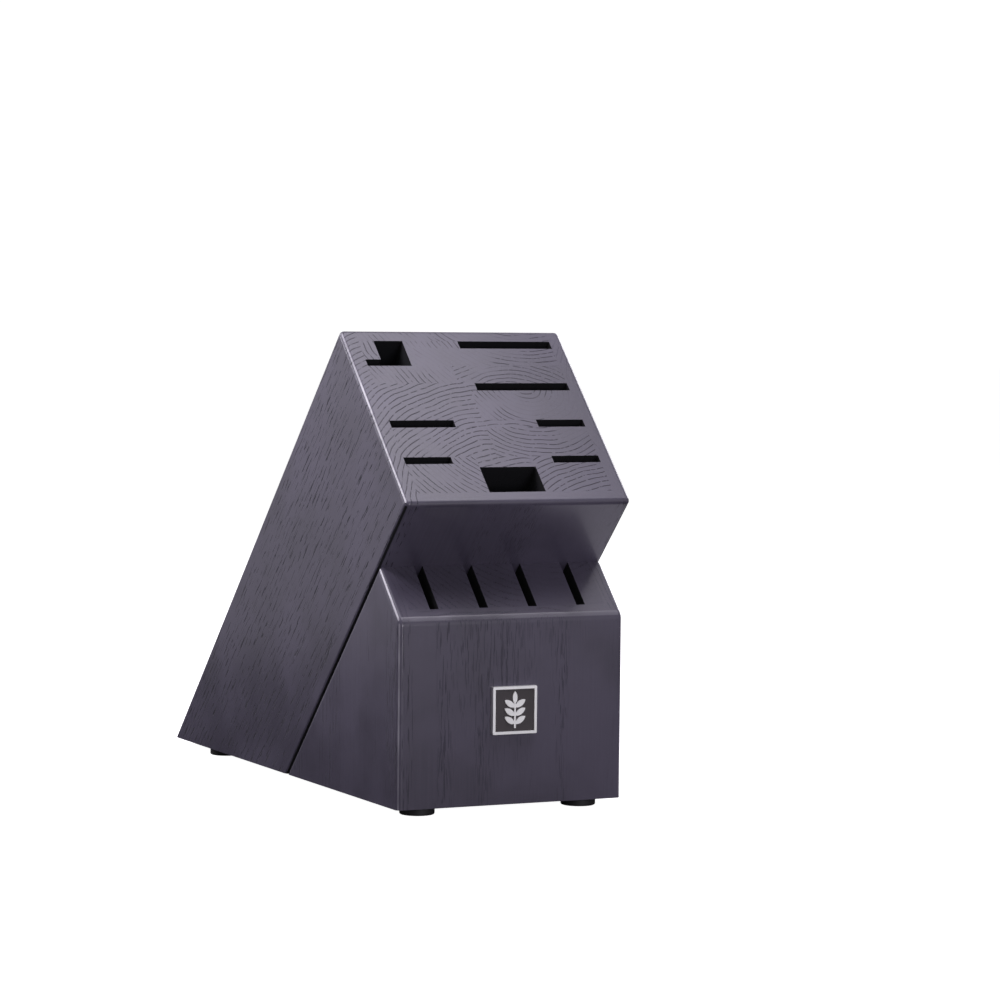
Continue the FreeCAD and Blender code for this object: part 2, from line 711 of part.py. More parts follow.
for item in doc.Objects:
    if "Invalid" in item.State or "Error" in item.State:
        raise RuntimeError(f"{item.Label} could not be made: {item.State}")
nodes = [item for item in doc.Objects if exported(item)]
for node in nodes:
    if node.Shape.isNull() or not node.Shape.isValid() or not node.Shape.Solids:
        raise RuntimeError(f"{node.Label} is not a sound solid")

os.makedirs("parts", exist_ok=True)
for node in nodes:
    node.Shape.exportStep(f"parts/{node.Label}.step")
    print(f"{node.Label:20s} {len(node.Shape.Solids)} solid {node.Shape.Volume / 1000:9.2f} cm3")
print(len(nodes), "nodes")
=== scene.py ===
"""Finishes, camera and studio for a slanted knife block of black-stained ash."""

import math

import bpy
from bpy.props import FloatProperty, FloatVectorProperty, PointerProperty
from mathutils import Matrix, Vector


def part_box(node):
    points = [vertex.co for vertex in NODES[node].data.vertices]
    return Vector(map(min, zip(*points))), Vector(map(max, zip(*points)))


bl_info = {
    "name": "Slanted Knife Block",
    "version": (1, 0, 0),
    "blender": (4, 5, 0),
    "location": "3D View > Sidebar > Knife Block",
    "description": "Finishes the parts of a slanted knife block and sets up its studio",
    "category": "Object",
}

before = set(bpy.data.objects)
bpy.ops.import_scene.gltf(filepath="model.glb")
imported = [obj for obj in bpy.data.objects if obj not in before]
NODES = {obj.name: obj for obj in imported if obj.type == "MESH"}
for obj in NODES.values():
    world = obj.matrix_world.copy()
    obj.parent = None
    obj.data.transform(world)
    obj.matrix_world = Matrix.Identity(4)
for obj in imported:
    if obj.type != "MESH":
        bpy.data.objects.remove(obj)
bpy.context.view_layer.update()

LEAN = math.radians(45)
LEANING = (0.0, -math.cos(LEAN), math.sin(LEAN))
LAYERWISE = (0.0, -math.sin(LEAN), -math.cos(LEAN))
UPRIGHT = (0.0, 0.0, 1.0)
FORWARD = (0.0, -1.0, 0.0)
SIDEWAYS = (1.0, 0.0, 0.0)
LEFTWARDS = (-1.0, 0.0, 0.0)
BACK_UP = (0.0, math.sin(LEAN), math.cos(LEAN))


# ---- frame helpers ----

def low_high(node):
    """The lowest and highest corner of a node's box."""
    low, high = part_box(node)
    return Vector(low), Vector(high)


def top_back_corner():
    """The upper block's top back edge on its left side: layers are counted from it."""
    low, high = low_high("upper_left_cheek")
    return Vector((low.x, high.y - (high.z - low.z), high.z))


# ---- node-tree helpers ----

class Tree:
    """A thin wrapper that adds nodes and links to one node tree."""

    def __init__(self, tree):
        self.tree = tree

    def add(self, kind, **settings):
        node = self.tree.nodes.new(kind)
        for key, value in settings.items():
            setattr(node, key, value)
        return node

    def link(self, source, target):
        self.tree.links.new(source, target)

    def feed(self, node, values):
        """Set or link a node's inputs, given by name or index."""
        for key, value in values.items():
            socket = node.inputs[key]
            if isinstance(value, bpy.types.NodeSocket):
                self.link(value, socket)
            else:
                socket.default_value = value
        return node

    def maths(self, operation, first, second=0.0, clamp=False):
        node = self.add("ShaderNodeMath", operation=operation, use_clamp=clamp)
        self.feed(node, {0: first, 1: second})
        return node.outputs[0]

    def vector(self, operation, first, second=(0.0, 0.0, 0.0)):
        node = self.add("ShaderNodeVectorMath", operation=operation)
        self.feed(node, {0: first, 1: second})
        name = "Value" if operation in ("DOT_PRODUCT", "LENGTH") else "Vector"
        return node.outputs[name]

    def noise(self, vector, scale, detail=2.0, roughness=0.5):
        node = self.add("ShaderNodeTexNoise")
        self.feed(node, {"Vector": vector, "Scale": scale, "Detail": detail,
                         "Roughness": roughness})
        return node

    def ramp(self, value, low, high, to_low=0.0, to_high=1.0, smooth=True):
        node = self.add("ShaderNodeMapRange",
                        interpolation_type="SMOOTHSTEP" if smooth else "LINEAR")
        self.feed(node, {"Value": value, "From Min": low, "From Max": high,
                         "To Min": to_low, "To Max": to_high})
        return node.outputs["Result"]

    def combine(self, across, along, deep):
        node = self.add("ShaderNodeCombineXYZ")
        self.feed(node, {0: across, 1: along, 2: deep})
        return node.outputs[0]

    def mix(self, factor, first, second):
        node = self.add("ShaderNodeMix", data_type="RGBA")
        self.feed(node, {0: factor, 6: first, 7: second})
        return node.outputs[2]


def group(name, inputs, outputs):
    """A new shader node group with named sockets, ready to be filled."""
    tree = bpy.data.node_groups.new(name, "ShaderNodeTree")
    for label, kind, default in inputs:
        socket = tree.interface.new_socket(label, in_out="INPUT", socket_type=kind)
        socket.default_value = default
    for label, kind in outputs:
        tree.interface.new_socket(label, in_out="OUTPUT", socket_type=kind)
    made = Tree(tree)
    return made, made.add("NodeGroupInput").outputs, made.add("NodeGroupOutput").inputs


NUMBER = "NodeSocketFloat"
VECTOR = "NodeSocketVector"

# Noise frequencies in cycles per metre, and how far each is drawn out along the grain
WARP_SCALE, WARP_ALONG = 38.0, 0.12
BREAK_SCALE, BREAK_ALONG = 420.0, 0.1
FIBRE_SCALE, FIBRE_ALONG = 900.0, 0.02
PORE_SCALE, PORE_WIDTH = 2000.0, 0.0011


def grain_group():
    """Ring-porous wood in space: growth rings round a pith line and pores drawn out along it.

    Rings are lines on a sawn end and stripes on a long face; pores are dots on the end and dashes
    on the face.
    """
    made, given, out = group("Ring-porous grain", [
        ("Grain axis", VECTOR, LEANING),
        ("Layer axis", VECTOR, LAYERWISE),
        ("Pith across", NUMBER, 0.0),
        ("Pith deep", NUMBER, 0.0),
        ("Ring spacing", NUMBER, 0.0027),
        ("Wobble", NUMBER, 0.0065),
        ("Line width", NUMBER, 0.15),
        ("Dash length", NUMBER, 0.012),
        ("Seed", NUMBER, 0.0),
        ("Cover", NUMBER, 0.0),
    ], [("Ring lines", NUMBER), ("Pores", NUMBER), ("End face", NUMBER), ("Fibre", NUMBER)])
    place = made.add("ShaderNodeTexCoord").outputs["Object"]
    normal = made.add("ShaderNodeNewGeometry").outputs["Normal"]
    across = made.vector("DOT_PRODUCT", place, SIDEWAYS)
    along = made.vector("DOT_PRODUCT", place, given["Grain axis"])
    deep = made.vector("DOT_PRODUCT", place, given["Layer axis"])

    facing = made.maths("ABSOLUTE", made.vector("DOT_PRODUCT", normal, given["Grain axis"]))
    end = made.ramp(facing, 0.55, 0.85)

    # growth rings: distance from a pith line that slow noise pushes about
    slow = made.combine(across, made.maths("MULTIPLY", along, WARP_ALONG), deep)
    slow = made.vector("ADD", slow, made.combine(given["Seed"], given["Seed"], given["Seed"]))
    warp = made.noise(slow, WARP_SCALE)
    split = made.add("ShaderNodeSeparateColor")
    made.link(warp.outputs["Color"], split.inputs[0])
    push = [made.maths("MULTIPLY", made.maths("SUBTRACT", split.outputs[index], 0.5),
                       given["Wobble"]) for index in (0, 1)]
    from_pith = [
        made.maths("ADD", made.maths("SUBTRACT", across, given["Pith across"]), push[0]),
        made.maths("ADD", made.maths("SUBTRACT", deep, given["Pith deep"]), push[1]),
    ]
    squares = [made.maths("MULTIPLY", side, side) for side in from_pith]
    radius = made.maths("SQRT", made.maths("ADD", squares[0], squares[1]))
    years = made.maths("DIVIDE", radius, given["Ring spacing"])
    within = made.maths("FRACT", years)
    near_line = made.maths("ABSOLUTE", made.maths("SUBTRACT", within, 0.5))
    line = made.ramp(near_line, 0.0, given["Line width"], 1.0, 0.0)
    band = made.ramp(near_line, 0.05, 0.42, 1.0, 0.0)

    # the marks gather in patches, and fine noise breaks the ring lines
    covered = made.maths("ADD", warp.outputs["Fac"], given["Cover"])
    patches = made.ramp(covered, 0.42, 0.58)
    drawn = made.combine(across, made.maths("MULTIPLY", along, BREAK_ALONG), deep)
    broken = made.noise(drawn, BREAK_SCALE)
    line = made.maths("MULTIPLY", line, made.ramp(broken.outputs["Fac"], 0.34, 0.48))
    line = made.maths("MULTIPLY", line, made.ramp(patches, 0.0, 1.0, 0.10, 1.0))

    # pores lie in the early part of each ring, drawn out along the grain
    thin = made.maths("DIVIDE", PORE_WIDTH, given["Dash length"])
    drawn = made.combine(across, made.maths("MULTIPLY", along, thin), deep)
    drawn = made.vector("ADD", drawn, made.combine(given["Seed"], 0.0, given["Seed"]))
    dots = made.noise(drawn, PORE_SCALE, 1.0, 0.4)
    pores = made.ramp(dots.outputs["Fac"], 0.56, 0.61)
    pores = made.maths("MULTIPLY", pores, band)
    pores = made.maths("MULTIPLY", pores, made.ramp(patches, 0.0, 1.0, 0.15, 1.0))

    # fibres are finer and longer still
    hair = made.combine(across, made.maths("MULTIPLY", along, FIBRE_ALONG), deep)
    fibre = made.noise(hair, FIBRE_SCALE, 3.0, 0.6)
    made.link(line, out["Ring lines"])
    made.link(pores, out["Pores"])
    made.link(end, out["End face"])
    made.link(fibre.outputs["Fac"], out["Fibre"])
    return made.tree


def wear_group():
    """Hand and handling marks: soft clouds, tiny specks and faint scuffs."""
    made, given, out = group("Handling", [("Scale", NUMBER, 1.0)],
                             [("Clouds", NUMBER), ("Specks", NUMBER), ("Scuffs", NUMBER)])
    place = made.add("ShaderNodeTexCoord").outputs["Object"]
    clouds = made.noise(place, made.maths("MULTIPLY", given["Scale"], 18.0), 3.0, 0.6)
    specks = made.noise(place, made.maths("MULTIPLY", given["Scale"], 1400.0), 1.0, 0.5)
    stretched = made.vector("MULTIPLY", place, (1.0, 0.25, 0.25))
    scuffs = made.noise(stretched, made.maths("MULTIPLY", given["Scale"], 260.0), 2.0, 0.7)
    made.link(clouds.outputs["Fac"], out["Clouds"])
    made.link(made.ramp(specks.outputs["Fac"], 0.68, 0.78), out["Specks"])
    made.link(made.ramp(scuffs.outputs["Fac"], 0.62, 0.80), out["Scuffs"])
    return made.tree


GRAIN = grain_group()
WEAR = wear_group()


def new_material(name):
    """An empty material with a Principled shader joined to its output."""
    material = bpy.data.materials.new(name)
    material.use_nodes = True
    material.node_tree.nodes.clear()
    tree = Tree(material.node_tree)
    shader = tree.add("ShaderNodeBsdfPrincipled")
    tree.link(shader.outputs[0], tree.add("ShaderNodeOutputMaterial").inputs[0])
    return material, tree, shader


def finish_node(node, material):
    """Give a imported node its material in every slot."""
    mesh_object = NODES[node]
    if not mesh_object.material_slots:
        mesh_object.data.materials.append(material)
    for place in mesh_object.material_slots:
        place.material = material


# ---- settings ----

class WoodSettings(bpy.types.PropertyGroup):
    stain: FloatVectorProperty(name="Stain", description="Colour of the stained wood",
                               subtype="COLOR", size=3, min=0.0, max=1.0,
                               default=(0.090, 0.079, 0.118))
    pore_colour: FloatVectorProperty(name="Pores", description="Colour inside the open pores",
                                     subtype="COLOR", size=3, min=0.0, max=1.0,
                                     default=(0.012, 0.011, 0.018))
    # Painted highlight: this pale colour is painted on rounded edges to stand in for their glint
    painted_highlight_colour: FloatVectorProperty(name="Rubbed edges",
                                       description="Thinner stain on handled edges",
                                       subtype="COLOR", size=3, min=0.0, max=1.0,
                                       default=(0.72, 0.70, 0.76))
    # Painted shade: this near-black colour is painted on the slot walls and on one rounded edge to
    # stand in for the shade there
    slot_shade_colour: FloatVectorProperty(name="Slot walls", description="Stain on the sawn slot walls",
                                     subtype="COLOR", size=3, min=0.0, max=1.0,
                                     default=(0.004, 0.004, 0.006))
    ring_spacing: FloatProperty(name="Ring spacing", description="Distance between growth rings",
                                subtype="DISTANCE", unit="LENGTH", default=0.0027)
    pore_depth: FloatProperty(name="Pore depth", description="Depth of the open pores",
                              subtype="DISTANCE", unit="LENGTH", default=0.00012)
    satin: FloatProperty(name="Satin", description="Roughness of the lacquered surface",
                         subtype="FACTOR", min=0.0, max=1.0, default=0.44)


class FittingSettings(bpy.types.PropertyGroup):
    rubber: FloatVectorProperty(name="Rubber", description="Colour of the feet",
                                subtype="COLOR", size=3, min=0.0, max=1.0,
                                default=(0.022, 0.021, 0.023))
    badge_metal: FloatVectorProperty(name="Badge metal", description="Plating of the badge",
                                     subtype="COLOR", size=3, min=0.0, max=1.0,
                                     default=(0.97, 0.965, 0.955))
    enamel: FloatVectorProperty(name="Enamel", description="Fill of the badge's field",
                                subtype="COLOR", size=3, min=0.0, max=1.0,
                                default=(0.062, 0.052, 0.056))


class StudioSettings(bpy.types.PropertyGroup):
    floor_glow: FloatProperty(name="Floor glow", description="Light that the paper adds",
                              default=1.0)
    bounce: FloatProperty(name="Bounce", description="Grey of the light that the floor returns",
                          default=0.30)
    floor_shine: FloatProperty(name="Floor shine",
                               description="Brightness of the floor in reflections", default=0.32)
    ambient: FloatProperty(name="Ambient", description="Strength of the surrounding light",
                           default=0.02)
    surround_shine: FloatProperty(name="Surround shine",
                                  description="Brightness of the surround in reflections",
                                  default=0.44)
    lights: FloatProperty(name="Lights", description="Power of all softboxes together",
                          default=1.0)


# ---- wood ----

def rounded_edge(tree, facing, width):
    """Where a rounded edge faces the given way."""
    normal = tree.add("ShaderNodeNewGeometry").outputs["Normal"]
    facing = Vector(facing).normalized()
    return tree.ramp(tree.vector("DOT_PRODUCT", normal, facing), width, 0.995)


def slot_wall(tree, hidden, end):
    """Where a piece faces into a slot: off its grain ends, sideways, or towards a given side."""
    if hidden == "off the ends":
        return tree.maths("SUBTRACT", 1.0, end)
    normal = tree.add("ShaderNodeNewGeometry").outputs["Normal"]
    if hidden == "sideways":
        turned = tree.maths("ABSOLUTE", tree.vector("DOT_PRODUCT", normal, SIDEWAYS))
    else:
        turned = tree.vector("DOT_PRODUCT", normal, hidden)
    return tree.ramp(turned, 0.5, 0.9)


def wood_material(name, grain_axis, layer_axis, pith, seed, settings, line_strength=1.0,
                  pore_strength=1.0, dash=0.012, hidden="off the ends", painted_highlights=(), painted_shade_edge=None,
                  cover=0.0):
    """Stained ash with its grain along one axis and its rings round one pith.

    hidden says which sides are slot walls, which get painted shade, painted_highlights lists the
    rounded edges that get a painted highlight as (direction, strength), painted_shade_edge is an
    edge that gets painted shade, and cover adds to how much of a face has marks.
    """
    material, tree, shader = new_material(name)
    grain = tree.add("ShaderNodeGroup", node_tree=GRAIN)
    tree.feed(grain, {"Grain axis": grain_axis, "Layer axis": layer_axis, "Pith across": pith[0],
                      "Pith deep": pith[1], "Ring spacing": settings.ring_spacing,
                      "Dash length": dash, "Seed": seed, "Cover": cover})
    wear = tree.add("ShaderNodeGroup", node_tree=WEAR)
    lines, pores, end, fibre = (grain.outputs[key] for key in (
        "Ring lines", "Pores", "End face", "Fibre"))
    on_face = tree.maths("SUBTRACT", 1.0, end)
    end_mark = tree.maths("MULTIPLY", tree.maths("MULTIPLY", lines, end), line_strength)
    face_mark = tree.maths("MULTIPLY", tree.maths("MULTIPLY", pores, on_face), pore_strength)
    mark = tree.maths("ADD", end_mark, face_mark, clamp=True)

    # colour: cloudy stain, dark marks, painted highlights on rounded edges and painted shade on
    # the slot walls and one edge
    stain = (*settings.stain, 1.0)
    deep = tuple(part * 0.80 for part in settings.stain) + (1.0,)
    light = tuple(part * 1.16 for part in settings.stain) + (1.0,)
    body = tree.mix(tree.ramp(wear.outputs["Clouds"], 0.35, 0.65), deep, light)
    body = tree.mix(tree.ramp(fibre, 0.3, 0.7, 0.0, 0.5), body, stain)
    body = tree.mix(tree.maths("MULTIPLY", mark, 0.9), body, (*settings.pore_colour, 1.0))
    # painted shade: the slot walls are painted near black where they lie in shade
    wall = slot_wall(tree, hidden, end)
    uneven = tree.ramp(wear.outputs["Clouds"], 0.40, 0.56, 0.45, 1.0)
    # painted highlight: a pale colour on rounded edges facing the given ways, broken up by cloud
    # noise, in place of a glint
    for facing, strength in painted_highlights:
        edge = tree.maths("MULTIPLY", rounded_edge(tree, facing, 0.97), strength)
        edge = tree.maths("MULTIPLY", edge, uneven)
        body = tree.mix(edge, body, (*settings.painted_highlight_colour, 1.0))
    # painted shade: one rounded edge also gets the near-black shade colour
    if painted_shade_edge is not None:
        wall = tree.maths("MAXIMUM", wall, rounded_edge(tree, painted_shade_edge, 0.93))
    tree.feed(shader, {"Base Color": tree.mix(wall, body, (*settings.slot_shade_colour, 1.0))})
    # surface: satin lacquer that leaves the pores open and the slot walls bare
    rough = tree.ramp(wear.outputs["Clouds"], 0.3, 0.7, settings.satin - 0.04,
                      settings.satin + 0.05)
    rough = tree.maths("ADD", rough, tree.maths("MULTIPLY", mark, 0.3))
    rough = tree.maths("ADD", rough, tree.maths("MULTIPLY", wall, 0.5), clamp=True)
    tree.feed(shader, {"Roughness": rough})
    height = tree.maths("MULTIPLY", mark, -1.0)
    height = tree.maths("ADD", height, tree.maths("MULTIPLY", fibre, 0.10))
    bump = tree.add("ShaderNodeBump")
    tree.feed(bump, {"Height": height, "Distance": settings.pore_depth, "Strength": 0.8})
    bare = tree.maths("MAXIMUM", wall, tree.maths("MULTIPLY", mark, 0.8))
    coat = tree.maths("MULTIPLY", tree.maths("SUBTRACT", 1.0, bare), 0.5)
    tree.feed(shader, {"Normal": bump.outputs[0], "IOR": 1.45, "Coat Weight": coat,
                       "Coat Roughness": 0.17})
    return material


MILLIMETRE = 0.001


def layer_place(across, deep):
    """A pith line as (across, deep) in the frame, from its place on the top face.

    It is given in millimetres to the right of and in front of the face's left back corner.
    """
    corner = top_back_corner()
    return (corner.x + across * MILLIMETRE,
            corner.dot(Vector(LAYERWISE)) + deep * MILLIMETRE)


class KNIFEBLOCK_OT_upper_shell(bpy.types.Operator):
    """Finish the outer boards of the upper block"""
    bl_idname = "knifeblock.upper_shell"
    bl_label = "Upper outer boards"

    def execute(self, context):
        wood = context.scene.knife_block_wood
        # node, way into the block, pith, seed, strength of the end lines, cover
        cheeks = (("upper_left_cheek", SIDEWAYS, layer_place(64.0, 120.0), 16.1, 0.9, 0.12),
                  ("upper_right_cheek", LEFTWARDS, layer_place(180.0, 50.0), 4.0, 0.3, 0.0))
        for node, inner, pith, seed, lines, cover in cheeks:
            outward = -Vector(inner)
            # painted highlight on each cheek's top edge, painted shade on its edge under the
            # overhang
            material = wood_material(f"ash_{node}", LEANING, LAYERWISE, pith, seed, wood,
                                     line_strength=lines, dash=0.015, hidden=inner, cover=cover,
                                     painted_highlights=((Vector(LEANING) + outward, 0.8),),
                                     painted_shade_edge=outward - Vector(BACK_UP))
            finish_node(node, material)
        back = wood_material("ash_back_board", LEANING, LAYERWISE, layer_place(95.0, -30.0), 5.0,
                             wood, hidden=LAYERWISE)
        finish_node("back_board", back)
        front = wood_material("ash_front_board", LEANING, LAYERWISE, layer_place(50.0, 400.0),
                              6.0, wood, line_strength=0.1, pore_strength=0.3,
                              hidden=BACK_UP)
        finish_node("front_board", front)
        return {"FINISHED"}


# Stave: place of its pith in millimetres, cover, and the nodes sawn from it
CORE_STAVES = {
    "rear_left": ((160.0, -30.0), 0.02, ("shears_post", "row1_spacer", "rear_core_left")),
    "rear": ((95.0, -30.0), 0.04, ("shears_board",)),
    "rear_right": ((78.0, 66.0), 0.06, ("rear_core_right",)),
    "middle_left": ((64.0, 120.0), 0.14, ("row2_spacer", "middle_core_left", "row3_spacer")),
    "middle_right": ((84.5, 36.0), 0.08, ("middle_core_right", "front_core_right")),
    "front_left": ((66.0, 132.0), 0.10, ("front_core_left", "steel_bridge")),
    "paring": ((100.0, 40.0), 0.12, ("paring_block", "steel_left_leg")),
    "boning": ((120.0, 170.0), 0.10, ("boning_block", "steel_right_leg")),
}


class KNIFEBLOCK_OT_core(bpy.types.Operator):
    """Finish the boards, staves and spacers inside the upper block"""
    bl_idname = "knifeblock.core"
    bl_label = "Upper core boards"

    def execute(self, context):
        wood = context.scene.knife_block_wood
        for number, (name, (pith, cover, nodes)) in enumerate(CORE_STAVES.items()):
            material = wood_material(f"ash_core_{name}", LEANING, LAYERWISE, layer_place(*pith),
                                     11.0 + 1.7 * number, wood, cover=cover)
            for node in nodes:
                finish_node(node, material)
        return {"FINISHED"}


# The rounded nose above the front face: the way it faces, and how strongly a painted highlight
# lightens it
NOSE_HIGHLIGHT = ((0.0, -0.85, 0.53), 0.2)


class KNIFEBLOCK_OT_lower_block(bpy.types.Operator):
    """Finish the lower block: cheeks, front board and fins"""
    bl_idname = "knifeblock.lower_block"
    bl_label = "Lower block"

    def execute(self, context):
        wood = context.scene.knife_block_wood
        low, high = low_high("lower_front_board")
        pith = (low.x - 0.1, -low.y)
        for number, (node, inner) in enumerate((("lower_left_cheek", SIDEWAYS),
                                                ("lower_right_cheek", LEFTWARDS))):
            outward = -Vector(inner)
            # painted highlights on the top, front and nose edges; painted shade on the back edge
            # at the seam
            edges = ((Vector(LEANING) + outward, 0.8), (Vector(FORWARD) + outward, 0.4), NOSE_HIGHLIGHT)
            material = wood_material(f"ash_{node}", UPRIGHT, FORWARD, pith, 31.0 + number, wood,
                                     line_strength=0.5, pore_strength=0.6, dash=0.02,
                                     hidden=inner, painted_highlights=edges,
                                     painted_shade_edge=Vector(BACK_UP) + outward)
            finish_node(node, material)
        # painted highlight along the nose, painted shade on the back face
        front = wood_material("ash_lower_front", UPRIGHT, FORWARD, (0.0, -low.y + 0.5), 37.0,
                              wood, line_strength=0.5, pore_strength=0.5, dash=0.02,
                              hidden=BACK_UP, painted_highlights=(NOSE_HIGHLIGHT,))
        finish_node("lower_front_board", front)
        fins = wood_material("ash_kerf_fins", UPRIGHT, FORWARD, (0.03, -low.y - 0.08), 41.0,
                             wood, line_strength=0.5, hidden="sideways")
        for number in range(1, 6):
            finish_node(f"kerf_fin_{number}", fins)
        return {"FINISHED"}


# ---- fittings ----

def speckled(name, colour, roughness, metallic=0.0, depth=0.00003, scale=1.0):
    """A plain moulded, cast or painted surface with clouds, specks and scuffs."""
    material, tree, shader = new_material(name)
    wear = tree.add("ShaderNodeGroup", node_tree=WEAR)
    tree.feed(wear, {"Scale": scale})
    dark = tuple(part * 0.86 for part in colour) + (1.0,)
    pale = tuple(min(1.0, part * 1.08 + 0.001) for part in colour) + (1.0,)
    tree.feed(shader, {"Base Color": tree.mix(wear.outputs["Clouds"], dark, pale)})
    rough = tree.ramp(wear.outputs["Scuffs"], 0.0, 1.0, roughness, min(1.0, roughness + 0.15))
    bump = tree.add("ShaderNodeBump")
    tree.feed(bump, {"Height": wear.outputs["Specks"], "Distance": depth, "Strength": 0.5})
    tree.feed(shader, {"Roughness": rough, "Metallic": metallic, "Normal": bump.outputs[0]})
    return material


ZINC_WASHER = (0.62, 0.62, 0.64)
ZINC_SCREW = (0.66, 0.65, 0.62)
RAW_BEECH = (0.55, 0.36, 0.21)


class KNIFEBLOCK_OT_feet(bpy.types.Operator):
    """Finish the rubber feet, their washers and screws, and the dowels"""
    bl_idname = "knifeblock.feet"
    bl_label = "Feet and fixings"

    def execute(self, context):
        fittings = context.scene.knife_block_fittings
        rubber = speckled("moulded_rubber", fittings.rubber, 0.62, scale=1.5)
        for corner in ("front_left", "front_right", "rear_left", "rear_right"):
            finish_node(f"foot_{corner}", rubber)
        finish_node("foot_washers", speckled("zinc_washer", ZINC_WASHER, 0.36, metallic=1.0))
        finish_node("foot_screws", speckled("zinc_screw", ZINC_SCREW, 0.30, metallic=1.0))
        finish_node("seam_dowels", speckled("raw_beech", RAW_BEECH, 0.7, scale=2.0))
        return {"FINISHED"}


class KNIFEBLOCK_OT_badge(bpy.types.Operator):
    """Finish the badge's plated casting and its enamel"""
    bl_idname = "knifeblock.badge"
    bl_label = "Badge"

    def execute(self, context):
        fittings = context.scene.knife_block_fittings
        plating = speckled("plated_casting", fittings.badge_metal, 0.52, metallic=1.0,
                           depth=0.00002, scale=2.0)
        finish_node("badge_plate", plating)
        finish_node("badge_enamel", speckled("black_enamel", fittings.enamel, 0.5, scale=3.0))
        return {"FINISHED"}


# ---- studio ----

VIEW_AZIMUTH = math.radians(-25.817)
VIEW_ELEVATION = math.radians(3.166)
VIEW_ROLL = math.radians(0.576)
VIEW_DISTANCE = 1.58142
LENS = 122.367
SENSOR_WIDTH = 36.0
TARGET_ACROSS = -0.00713
TARGET_ABOVE_WOOD = 0.14283
LIGHT_TINT = (1.0, 0.965, 1.06)
WHITE = (1.0, 1.0, 1.0, 1.0)
FLOOR_REACH = 12.0
SHINE_STARTS, SHINE_FULL = 0.4, 0.9


def aim(thing, target):
    """Turn a light so that it shines at a point."""
    thing.rotation_euler = (Vector(target) - thing.location).to_track_quat("-Z", "Y").to_euler()


def softbox(name, place, target, size, power):
    """A square area light."""
    lamp = bpy.data.lights.new(name, "AREA")
    lamp.shape = "RECTANGLE"
    lamp.size = lamp.size_y = size
    lamp.energy = power
    lamp.color = LIGHT_TINT
    thing = bpy.data.objects.new(name, lamp)
    bpy.context.scene.collection.objects.link(thing)
    thing.location = place
    aim(thing, target)


def view_camera():
    """The camera: in front, to the left and a little above, looking at the block's middle."""
    front_low = low_high("lower_front_board")[0]
    turn, lift, roll = VIEW_AZIMUTH, VIEW_ELEVATION, VIEW_ROLL
    back = Vector((math.sin(turn) * math.cos(lift), -math.cos(turn) * math.cos(lift),
                   math.sin(lift)))
    right = Vector((math.cos(turn), math.sin(turn), 0.0))
    up = back.cross(right)
    across = math.cos(roll) * right + math.sin(roll) * up
    upright = -math.sin(roll) * right + math.cos(roll) * up
    target = Vector((TARGET_ACROSS, front_low.y, front_low.z + TARGET_ABOVE_WOOD))
    data = bpy.data.cameras.new("view_camera")
    data.lens = LENS
    data.sensor_width = SENSOR_WIDTH
    data.clip_end = 50.0
    camera = bpy.data.objects.new("view_camera", data)
    bpy.context.scene.collection.objects.link(camera)
    turned = Matrix((across, upright, back)).transposed().to_4x4()
    camera.matrix_world = Matrix.Translation(target + back * VIEW_DISTANCE) @ turned
    bpy.context.scene.camera = camera


def floor_material(studio):
    """Pale paper: white to the eye, and a calmer grey in the light that it gives back."""
    material, tree, shader = new_material("floor_paper")
    output = next(node for node in tree.tree.nodes if node.type == "OUTPUT_MATERIAL")
    tree.feed(shader, {"Base Color": (0.93, 0.93, 0.93, 1.0), "Roughness": 0.9,
                       "Specular IOR Level": 0.0, "Emission Color": WHITE,
                       "Emission Strength": studio.floor_glow})
    bounce = tree.add("ShaderNodeBsdfDiffuse")
    tree.feed(bounce, {"Color": (studio.bounce, studio.bounce, studio.bounce, 1.0)})
    place = tree.add("ShaderNodeTexCoord").outputs["Object"]
    away = tree.ramp(tree.vector("LENGTH", place), SHINE_STARTS, SHINE_FULL, 0.0,
                     studio.floor_shine)
    shine = tree.add("ShaderNodeEmission")
    tree.feed(shine, {"Color": (*LIGHT_TINT, 1.0), "Strength": away})
    path = tree.add("ShaderNodeLightPath")
    returned = tree.add("ShaderNodeMixShader")
    tree.feed(returned, {0: path.outputs["Is Glossy Ray"], 1: bounce.outputs[0],
                         2: shine.outputs[0]})
    either = tree.add("ShaderNodeMixShader")
    tree.feed(either, {0: path.outputs["Is Camera Ray"], 1: returned.outputs[0],
                       2: shader.outputs[0]})
    tree.link(either.outputs[0], output.inputs[0])
    return material


MIDDLE = (0.0, -0.03, 0.12)
# Name, place, what it shines at, width and power
SOFTBOXES = (
    ("overhead", (0.1, -0.25, 1.5), MIDDLE, 1.1, 12.6),
    ("left_near", (-0.28, -0.08, 0.38), (-0.06, -0.1, 0.15), 0.12, 0.6),
    ("left_back", (-0.7, 0.9, 0.6), MIDDLE, 0.6, 5.0),
    ("front_low", (0.1, -1.2, 0.15), MIDDLE, 0.4, 3.1),
    ("right_back", (1.2, 0.9, 0.8), MIDDLE, 0.8, 7.0),
    ("right_card", (0.15, -0.1, 0.002), (0.15, -0.1, 1.0), 0.14, 0.054),
)


def surround_world(studio):
    """The space round the floor: white to the eye, with its own light and reflections."""
    world = bpy.data.worlds.new("studio_surround")
    world.use_nodes = True
    tree = Tree(world.node_tree)
    path = tree.add("ShaderNodeLightPath")
    seen = tree.ramp(path.outputs["Is Glossy Ray"], 0.0, 1.0, studio.ambient,
                     studio.surround_shine, smooth=False)
    seen = tree.ramp(path.outputs["Is Camera Ray"], 0.0, 1.0, seen, 1.05, smooth=False)
    tree.feed(world.node_tree.nodes["Background"], {"Color": WHITE, "Strength": seen})
    return world


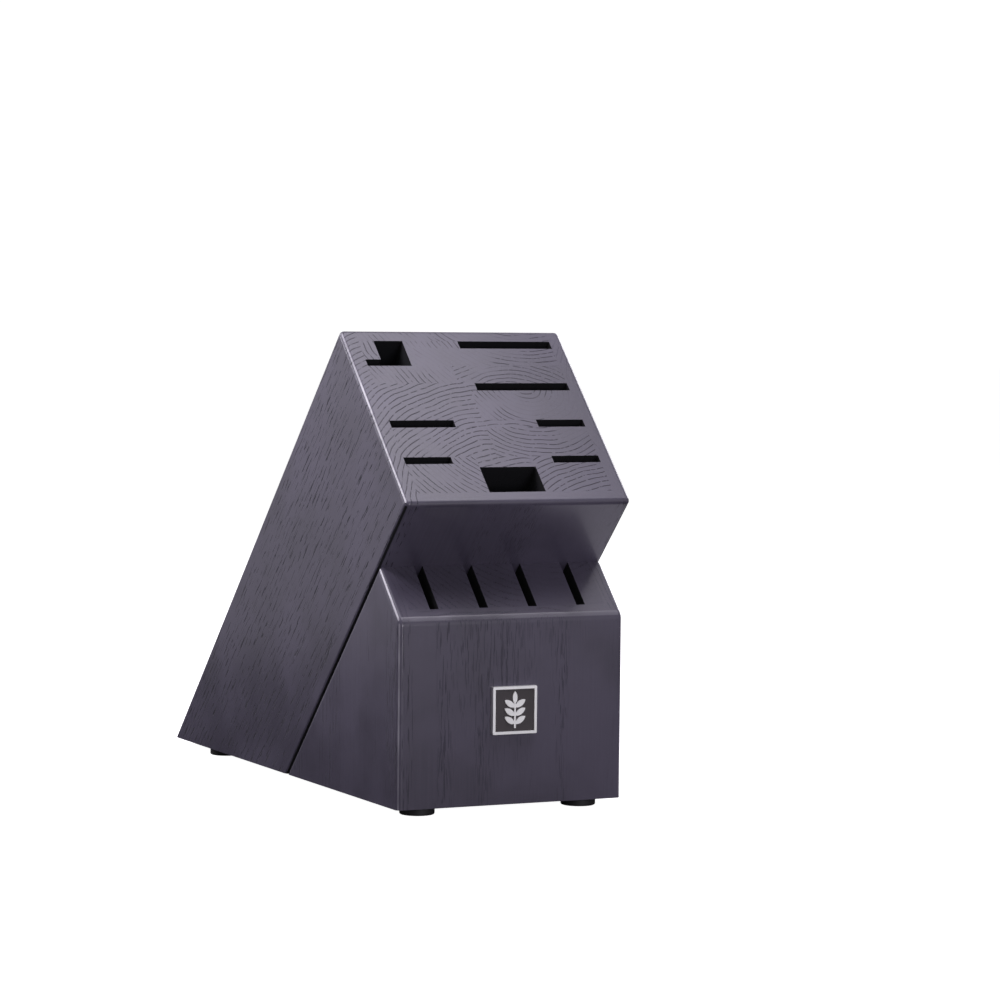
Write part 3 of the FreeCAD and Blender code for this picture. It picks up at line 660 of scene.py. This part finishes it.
class KNIFEBLOCK_OT_studio(bpy.types.Operator):
    """Build the pale floor, the soft lights and the camera"""
    bl_idname = "knifeblock.studio"
    bl_label = "Studio"

    def execute(self, context):
        studio = context.scene.knife_block_studio
        scene = context.scene
        corners = ((-1, -1), (1, -1), (1, 1), (-1, 1))
        mesh = bpy.data.meshes.new("studio_floor")
        mesh.from_pydata([(x * FLOOR_REACH, y * FLOOR_REACH, 0.0) for x, y in corners], [],
                         [(0, 1, 2, 3)])
        floor = bpy.data.objects.new("studio_floor", mesh)
        scene.collection.objects.link(floor)
        mesh.materials.append(floor_material(studio))
        scene.world = surround_world(studio)
        for name, place, target, size, power in SOFTBOXES:
            softbox(name, place, target, size, power * studio.lights)
        view_camera()
        scene.view_settings.view_transform = "Standard"
        return {"FINISHED"}


STEPS = (KNIFEBLOCK_OT_upper_shell, KNIFEBLOCK_OT_core, KNIFEBLOCK_OT_lower_block,
         KNIFEBLOCK_OT_feet, KNIFEBLOCK_OT_badge, KNIFEBLOCK_OT_studio)


class KNIFEBLOCK_PT_panel(bpy.types.Panel):
    bl_idname = "KNIFEBLOCK_PT_panel"
    bl_label = "Knife Block"
    bl_space_type = "VIEW_3D"
    bl_region_type = "UI"
    bl_category = "Knife Block"

    def draw(self, context):
        layout = self.layout
        for settings in (context.scene.knife_block_wood, context.scene.knife_block_fittings,
                         context.scene.knife_block_studio):
            box = layout.box()
            for key in settings.__annotations__:
                box.prop(settings, key)
        for step in STEPS:
            layout.operator(step.bl_idname)


SETTINGS = {"knife_block_wood": WoodSettings, "knife_block_fittings": FittingSettings,
            "knife_block_studio": StudioSettings}


def register():
    for cls in (*SETTINGS.values(), *STEPS, KNIFEBLOCK_PT_panel):
        bpy.utils.register_class(cls)
    for key, cls in SETTINGS.items():
        setattr(bpy.types.Scene, key, PointerProperty(type=cls))


def unregister():
    for key in SETTINGS:
        delattr(bpy.types.Scene, key)
    for cls in reversed((*SETTINGS.values(), *STEPS, KNIFEBLOCK_PT_panel)):
        bpy.utils.unregister_class(cls)


def main():
    register()
    for step in STEPS:
        area, name = step.bl_idname.split(".")
        getattr(getattr(bpy.ops, area), name)()


if __name__ == "__main__":
    main()
